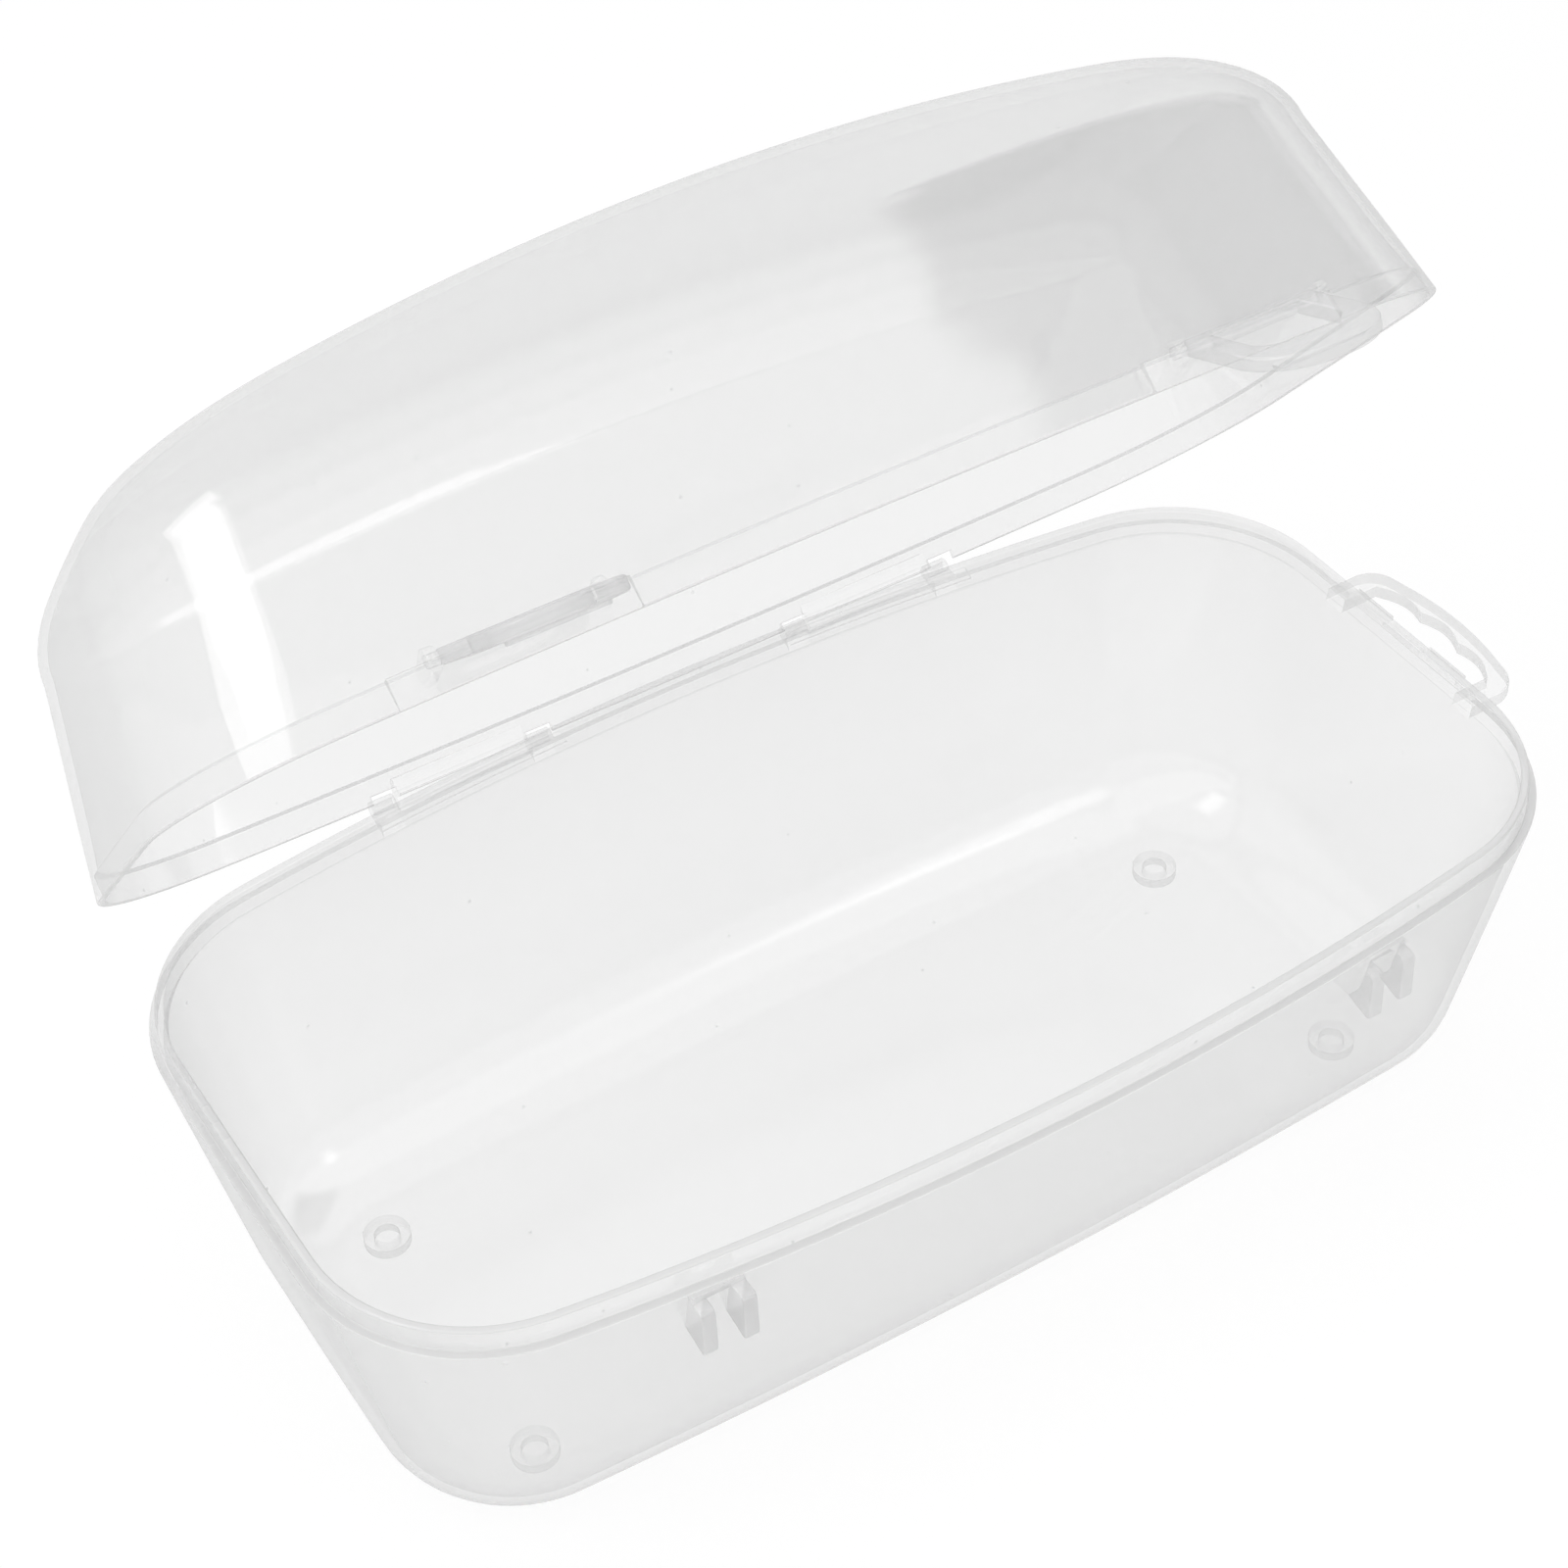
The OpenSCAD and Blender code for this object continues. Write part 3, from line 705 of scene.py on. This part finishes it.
def tray_veil(c, n):
    """The rim's top turns milkier towards the front. Its sides do towards the left end, and the outer one
    also towards the front, seen edge on. Both are painted shade, and so is the thicker veil of the outer
    walls where they look left."""
    if c.x > HALF_LEN + 1.5 and c.z > SHOULDER_Z / 2:
        return LOOP_EDGE if abs(n.z) < 0.6 else LOOP_FLAT
    if c.x > HALF_LEN - 1 and abs(c.y) < LOOP_LEN / 2 + TOUCH and abs(n.x) < 0.5:
        return LOOP_ROOT
    if c.z < FOOT_H - TOUCH / 2:
        return FOOT
    if by_hinge(c):
        return HINGE
    if by_fins(c):
        return FINS[-1 if c.x < 0 else 1]
    # Painted shade: the rim turns greyer towards its front and its left end
    left_end = within((-c.x - LEFT_END_FROM) / LEFT_END_SPAN)
    front = within((blend(RIM_FRONT_FROM, left_end) - c.y) / blend(RIM_FRONT_SPAN, left_end))
    inward = n.x * c.x / HALF_LEN ** 2 + n.y * c.y / HALF_W ** 2 < 0
    if n.z > 0.5 and c.z > SHOULDER_Z - SHOULDER_EDGE:
        return blend(RIM_TOP_MILK_AND_SHADE, front), RIM_EDGE_ON_AND_SHADE[0]
    if c.z > SHOULDER_Z - (RIM_VEIL_DROP if inward else SHOULDER_EDGE):
        milk = blend(RIM_SIDE_MILK_AND_SHADE, front) + RIM_LEFT_SHADE * left_end
        return milk, INSIDE_EDGE_ON if inward else blend(RIM_EDGE_ON_AND_SHADE, front)
    # Painted shade: outer faces that look left get a thicker veil, and so look greyer
    return TRAY_MILK, INSIDE_EDGE_ON if inward else OUTSIDE_EDGE_ON + TRAY_SHADE_TO_RIGHT * n.x


def lid_veil(c, n):
    """Seen edge on, the outside is milkier than the inside, most of all at the right, where the extra milk
    is painted shade, and the underside of the roof stays clear."""
    z = c.z - SHOULDER_Z
    if by_hinge(c):
        return HINGE
    from_latch = abs(abs(c.x) - LATCH_X)
    if abs(from_latch - PAD_LEN / 2) < SHOULDER_EDGE and -c.y > side_y(c.x, ROOT_DEPTH):
        return PAD_END
    if from_latch < PAD_LEN / 2 + 1 and -c.y > side_y(c.x, -TOUCH):
        return LUG if z > SKIRT_H + TOUCH or -c.y > side_y(c.x, -PAD_T - TOUCH) else PAD
    if n.z < -0.3 and z < SKIRT_H + 1:
        return SKIRT_FOOT
    inward = n.x * c.x / HALF_LEN ** 2 + n.y * c.y / HALF_W ** 2 + n.z * max(0.0, z) / LID_H ** 2 < 0
    if inward:
        return LID_MILK, 0.0 if n.z < -0.7 else INSIDE_EDGE_ON
    # Painted shade: outer faces that look right get a thicker veil, and so look greyer
    return SKIRT_MILK if z < SKIRT_H else LID_MILK, OUTSIDE_EDGE_ON + LID_SHADE_TO_RIGHT * n.x


# The mouldings


def build_tray():
    """The tray with all that is moulded in one with it."""
    adds = [carry_loop()] + [loop_lip(s) for s in (-1, 1)]
    cuts = []
    for sx in (-1, 1):
        x = sx * HINGE_X
        adds.append(fin_bar(sx * LATCH_X))
        adds += [fin(sx * LATCH_X + s * FIN_PITCH / 2) for s in (-1, 1)]
        adds += [hinge_strip(x)]
        for s in (-1, 1):
            adds += [knuckle_web(x + s * KNUCKLE_X),
                     hinge_rod("knuckle", x + s * KNUCKLE_X, KNUCKLE_LEN, BARREL_R, PIN_SIDES, edge=0.15)]
        length = BARREL_LEN + 2 * SEAT_GAP
        cuts.append(hinge_rod("hollow", x, length, BARREL_R + SEAT_GAP, BARREL_SIDES, CUT_EDGE))
        cuts.append(hinge_rod("bore", x, HINGE_LEN + 2, PIN_R + PIN_PLAY, PIN_SIDES, CUT_EDGE))
        for sy in (-1, 1):
            adds.append(foot(sx, sy))
            cuts.append(foot_hole(sx, sy))
    tray = carve("tray_moulding", tray_shell(), adds, cuts)
    mark_veil(tray, tray_veil)
    return tray


def swing_open(ob, pivot=None, angle=0.0):
    """Turns a latch about its pivot, then everything with the lid about the hinge line."""
    m = Matrix.Identity(4)
    if pivot:
        p = Vector(pivot) * 0.001
        m = Matrix.Translation(p) @ Matrix.Rotation(-math.radians(angle), 4, "X")
    h = Vector((0, HINGE_Y, HINGE_Z)) * 0.001
    lid = Matrix.Translation(h) @ Matrix.Rotation(-math.radians(LID_OPEN), 4, "X") @ Matrix.Translation(-h)
    ob.data.transform(lid @ m)
    ob.data.update()


def notch(x):
    """Room in the skirt for a knuckle of the tray."""
    below, reach = 1, 10
    half = KNUCKLE_LEN / 2 + SEAT_GAP
    low = SHOULDER_Z - below
    top = HINGE_Z + BARREL_R + SEAT_GAP
    return loft("notch", [[(x - half, y, low), (x + half, y, low), (x + half, y, top), (x - half, y, top)]
                          for y in (HALF_W - reach, HALF_W + reach)])


def build_lid():
    """The lid with its hinge barrels, lugs and pads, swung open."""
    adds, cuts = [], []
    for sx in (-1, 1):
        x = sx * HINGE_X
        adds += [hinge_leaf(sx), hinge_rod("barrel", x, BARREL_LEN, BARREL_R, BARREL_SIDES, edge=0.12),
                 hinge_rod("pin", x, HINGE_LEN, PIN_R, PIN_SIDES, edge=0.12), latch_pad(sx)]
        adds += [pivot_lug(sx * LATCH_X + s * LUG_X) for s in (-1, 1)]
        cuts.append(rod("axle_bore", (sx * LATCH_X - LATCH_W, PIVOT_Y, PIVOT_Z), 2 * LATCH_W,
                        PIVOT_R + PIN_PLAY, PIN_SIDES, CUT_EDGE))
        cuts += [notch(x + s * KNUCKLE_X) for s in (-1, 1)]
    lid = carve("lid_moulding", lid_shell(), adds, cuts)
    mark_veil(lid, lid_veil)
    swing_open(lid)
    return lid


# Ring latches


def ring_outline(w, top, low, r, steps=14):
    """A hanging plate of width w, square at its top and with corners of radius r at its free end."""
    pts = [(-w / 2, -top)] + arc((-w / 2 + r, -low + r), r, 180, 270, steps, True)
    pts += arc((w / 2 - r, -low + r), r, 270, 360, steps, True) + [(w / 2, -top)]
    return anticlockwise(pts)


def build_latch(sx):
    """A ring latch, made hanging from its pivot and then swung up."""
    name = "latch_ring_left" if sx < 0 else "latch_ring_right"
    low = PIVOT_UP + FIN_BAR_H + FIN_H + CATCH_PLAY
    back = LATCH_T / 2

    def upright(u, v, w):
        return (u, w, v)
    outer = ring_outline(LATCH_W, 0, LATCH_LEN, LATCH_R)
    inner = ring_outline(WINDOW_W, WINDOW_TOP, low, WINDOW_R)
    ring = plate(name + "_plate", outer, LATCH_T, upright, edge=0.5, steps=4)
    window = flared("window", inner, LATCH_T, upright, edge=0.35)
    length = LATCH_W + 2 * (SEAT_GAP + LUG_T)
    sunk, edge = 0.6, 0.3
    root, out = back - sunk, back + GRIP_T
    grip = [(root, -low - GRIP_H), (out - edge, -low - GRIP_H), (out, -low - GRIP_H + edge),
            (out, -low - edge), (out - edge, -low), (root, -low)]
    adds = [rod("hub", (-LATCH_W / 2, 0, 0), LATCH_W, LATCH_T / 2, ROUND_SIDES, edge=0.3),
            rod("axle", (-length / 2, 0, 0), length, PIVOT_R, PIN_SIDES, edge=0.2)]
    ridge = plate("ridge", anticlockwise(grip), WINDOW_W, lambda u, v, w: (w, u, v), edge=0.25)
    body = carve(name + "_ring", ring, (), [window])
    latch = carve(name, body, adds + [ridge])
    mark_veil(latch, lambda c, n: AXLE if abs(c.x) > LATCH_W / 2 + TOUCH else RING[sx])
    swing_open(latch, (sx * LATCH_X, PIVOT_Y, PIVOT_Z), LATCH_OPEN[sx])
    return latch


# Materials


class Nodes:
    """Short ways to build the node tree of a material or a world."""

    def __init__(self, owner, output="OutputMaterial"):
        owner.use_nodes = True
        self.tree = owner.node_tree
        self.tree.nodes.clear()
        self.out = self.add(output)

    def add(self, kind, **settings):
        """A new node; settings are its options, and the default values of its inputs."""
        node = self.tree.nodes.new("ShaderNode" + kind)
        for name, value in settings.items():
            if name in node.inputs:
                node.inputs[name].default_value = value
            else:
                setattr(node, name, value)
        return node

    def feed(self, socket, value):
        """Links an output to a socket, or sets the socket to a plain number."""
        if isinstance(value, (int, float)):
            socket.default_value = value
        else:
            self.tree.links.new(value, socket)

    def math(self, operation, *values):
        """The result of a sum on outputs or plain numbers."""
        node = self.add("Math", operation=operation)
        for socket, value in zip(node.inputs, values):
            self.feed(socket, value)
        return node.outputs[0]

    def ramp(self, value, low, high, span=(0.0, 1.0)):
        """Low before the span of values, high after it, and an even change between."""
        node = self.add("MapRange")
        node.inputs["From Min"].default_value, node.inputs["From Max"].default_value = span
        for name, given in (("Value", value), ("To Min", low), ("To Max", high)):
            self.feed(node.inputs[name], given)
        return node.outputs["Result"]

    def mix(self, share, first, second):
        """Two shaders mixed; share is that of the second."""
        node = self.add("MixShader")
        for socket, value in zip(node.inputs, (share, first, second)):
            self.feed(socket, value)
        return node.outputs[0]

    def finish(self, shader):
        """Links the shader to the output."""
        self.tree.links.new(shader, self.out.inputs["Surface"])


WHITE = (1, 1, 1, 1)

# Waves and specks of moulded polypropylene; scales are in cells a metre, heights in metres

WAVE_SCALE = 50
WAVE_DEPTH = 0.0004
WAVE_STRENGTH = 0.15
GLOSS_SCALE = 22
GLOSS_SPREAD = (-0.03, 0.05)
SPECK_SCALE = 95
SPECK_SIZE = (0.02, 0.035)
SPECK_MILK = 0.22

# How the veil thickens towards an edge-on view, and how the gloss grows there

VEIL_TURN = 2.5
GLOSS_TURN = 5
GLOSS_SHARE = (0.085, 0.22)

# Where the tray's painted shade under the lid sets in: from which height to which, and from which place to
# the back, in metres

PAINTED_RIM_SHADE = 0.05
RIM_SHADE_UP = (0.02, 0.056)
RIM_SHADE_BACK = (0.0, 0.05)


def clear_plastic(name, grey, rough, rim_shade=0.0):
    """Moulded translucent plastic: a thin milky veil under a clear gloss. The veil follows the marks of
    each face, and thickens where a wall is seen edge on and in a few specks. The gloss is uneven. The
    rim shade, if any, is painted shade under the lid: the veil thickens towards the rim at the back."""
    mat = bpy.data.materials.new(name)
    nodes = Nodes(mat)
    where = nodes.add("TexCoord").outputs["Object"]

    def noise(scale, detail):
        node = nodes.add("TexNoise", Scale=scale, Detail=detail)
        nodes.feed(node.inputs["Vector"], where)
        return node.outputs["Fac"]

    waves = nodes.add("Bump", Strength=WAVE_STRENGTH, Distance=WAVE_DEPTH)
    nodes.feed(waves.inputs["Height"], noise(WAVE_SCALE, detail=1.5))
    facing = nodes.add("LayerWeight", Blend=0.5).outputs["Facing"]
    face_on, edge_on = [nodes.add("Attribute", attribute_name=kind).outputs["Fac"] for kind in MARKS]
    specks = nodes.add("TexVoronoi", Scale=SPECK_SCALE)
    nodes.feed(specks.inputs["Vector"], where)

    thick = nodes.math("MULTIPLY_ADD", nodes.math("POWER", facing, VEIL_TURN), edge_on, face_on)
    thick = nodes.math("ADD", thick, nodes.ramp(specks.outputs["Distance"], SPECK_MILK, 0, SPECK_SIZE))
    # Painted shade under the lid: the tray's veil thickens high up and towards the back
    if rim_shade:
        axes = nodes.add("SeparateXYZ")
        nodes.feed(axes.inputs[0], where)
        high = nodes.ramp(axes.outputs["Z"], 0, rim_shade, RIM_SHADE_UP)
        thick = nodes.math("MULTIPLY_ADD", high, nodes.ramp(axes.outputs["Y"], 0, 1, RIM_SHADE_BACK), thick)

    milk = nodes.add("BsdfPrincipled", Roughness=0.5)
    milk.inputs["Base Color"].default_value = (grey, grey, grey, 1)
    milk.inputs["Specular IOR Level"].default_value = 0.2
    gloss = nodes.add("BsdfGlossy", Color=WHITE)
    low, high = GLOSS_SPREAD
    spread = nodes.ramp(noise(GLOSS_SCALE, detail=3), rough + low, rough + high)
    nodes.feed(gloss.inputs["Roughness"], spread)
    for shader in (milk, gloss):
        nodes.feed(shader.inputs["Normal"], waves.outputs["Normal"])
    body = nodes.mix(thick, nodes.add("BsdfTransparent").outputs[0], milk.outputs[0])
    grazing = nodes.ramp(nodes.math("POWER", facing, GLOSS_TURN), *GLOSS_SHARE)
    nodes.finish(nodes.mix(grazing, body, gloss.outputs[0]))
    return mat


# How much of the floor's look is plain white; the rest is paint, which takes the shadow

FLOOR_GLOW = 0.88


def white_floor():
    """Pale floor: seen as white, with the object's shadow kept faint."""
    mat = bpy.data.materials.new("pale_floor")
    nodes = Nodes(mat)
    path = nodes.add("LightPath")
    seen = nodes.math("MAXIMUM", path.outputs["Is Camera Ray"], path.outputs["Is Transmission Ray"])
    seen = nodes.math("MAXIMUM", seen, path.outputs["Is Glossy Ray"])
    paint = nodes.add("BsdfDiffuse", Color=(0.9, 0.9, 0.9, 1))
    glow = nodes.add("Emission", Color=WHITE, Strength=1.0)
    nodes.finish(nodes.mix(nodes.math("MULTIPLY", seen, FLOOR_GLOW), paint.outputs[0], glow.outputs[0]))
    return mat


# The object

shell_mat = clear_plastic("clear_shell", grey=0.6, rough=0.14, rim_shade=PAINTED_RIM_SHADE)
lid_mat = clear_plastic("clear_lid", grey=0.6, rough=0.06)
latch_mat = clear_plastic("clear_latch", grey=0.56, rough=0.2)

for ob, mat, node in ((build_tray(), shell_mat, "tray"),
                      (build_lid(), lid_mat, "lid"),
                      (build_latch(-1), latch_mat, "latch_left"),
                      (build_latch(1), latch_mat, "latch_right")):
    soften(ob)
    ob.data.materials.clear()
    ob.data.materials.append(mat)
    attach(ob, node)
    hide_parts(node)

# Studio

FLOOR_HALF = 3000
floor_corners = [(sx * FLOOR_HALF, sy * FLOOR_HALF, 0) for sx, sy in ((-1, -1), (1, -1), (1, 1), (-1, 1))]
floor = mesh_object("floor", floor_corners, [(0, 1, 2, 3)])
floor.data.materials.append(white_floor())

# The dark part of the room that reflections show. A span is where one of its edges changes between white
# and dark, as how far a direction points up, back or right. The left edge leans, and has a step in it

DIM_LOW_SPAN = (0.25, 0.35)
DIM_BACK_SPAN = (0.12, 0.22)
DIM_FRONT_SPAN = (-0.36, -0.3)
DIM_LEFT_LEAN = -0.53
DIM_LEFT_AT = (0.65, 0.603)
DIM_LEFT_BLUR = 0.015
DIM_STEP_SPAN = (-0.224, -0.212)


def studio_world():
    """White to the camera, and half as strong as a light. In reflections only, the room is white but for a
    dark part at its front right, which shows as the dark patch at the lid's right. Its left edge has a step,
    as in the photograph."""
    world = bpy.data.worlds.new("studio")
    nodes = Nodes(world, "OutputWorld")
    at = nodes.add("TexCoord").outputs["Generated"]

    def along(axis):
        """How far a direction of the world points along an axis."""
        node = nodes.add("VectorMath", operation="DOT_PRODUCT")
        node.inputs[1].default_value = axis
        nodes.feed(node.inputs[0], at)
        return node.outputs["Value"]

    depth = along((0, 1, 0))
    dim = nodes.ramp(along((0, 0, 1)), 1.0, 0.0, DIM_LOW_SPAN)
    dim = nodes.ramp(depth, dim, 1.0, DIM_BACK_SPAN)
    dim = nodes.ramp(depth, 1.0, dim, DIM_FRONT_SPAN)
    rightward = along((1, DIM_LEFT_LEAN, 0))
    steps = [nodes.ramp(rightward, 1.0, dim, (left, left + DIM_LEFT_BLUR)) for left in DIM_LEFT_AT]
    mirrored = nodes.ramp(depth, *steps, DIM_STEP_SPAN)
    path = nodes.add("LightPath")
    unseen = nodes.ramp(path.outputs["Is Glossy Ray"], 0.5, mirrored)
    light = nodes.add("Background", Color=WHITE)
    nodes.feed(light.inputs["Strength"], nodes.ramp(path.outputs["Is Camera Ray"], unseen, 1.0))
    nodes.finish(light.outputs[0])
    return world


def lamp(name, at, aim, size, power):
    """An area lamp at a place, turned to what it aims at, in metres and watts."""
    data = bpy.data.lights.new(name, "AREA")
    data.shape = "RECTANGLE"
    data.size, data.size_y = size
    data.energy = power
    ob = bpy.data.objects.new(name, data)
    bpy.context.scene.collection.objects.link(ob)
    ob.location = at
    ob.rotation_euler = (Vector(aim) - Vector(at)).to_track_quat("-Z", "Y").to_euler()
    return ob


# The side and front lamps make the streaks on the lid's left end and along the tray's floor

bpy.context.scene.world = studio_world()
lamp("overhead", (-0.94, -0.5, 1.4), (-0.94, -0.5, 0), (3.3, 3.0), 42).visible_glossy = False
lamp("side", (-0.98, 0.0, 1.15), (-0.09, 0.01, 0.14), (0.38, 0.75), 1.15)
lamp("front", (0.566, -1.01, 0.59), (0.045, 0.03, 0.01), (0.2, 0.35), 0.26)

# Camera, as the photograph was taken; the turns are in degrees, and the place is in metres

CAM_AT = (-0.190294, -0.318863, 0.417899)
CAM_TURN = -29.2311
CAM_DOWN = 42.3317
CAM_ROLL = -3.4251

cam_data = bpy.data.cameras.new("photo_camera")
cam_data.sensor_width = 36
cam_data.lens = 78.17
cam_data.clip_start = 0.01
cam_data.clip_end = 20
cam = bpy.data.objects.new("photo_camera", cam_data)
bpy.context.scene.collection.objects.link(cam)
cam.matrix_world = Matrix.Translation(CAM_AT)
for angle, axis in ((CAM_TURN, "Z"), (90 - CAM_DOWN, "X"), (CAM_ROLL, "Z")):
    cam.matrix_world = cam.matrix_world @ Matrix.Rotation(math.radians(angle), 4, axis)
bpy.context.scene.camera = cam
bpy.context.scene.view_settings.view_transform = "Standard"
bpy.context.scene.cycles.transparent_max_bounces = 48

bpy.context.view_layer.update()
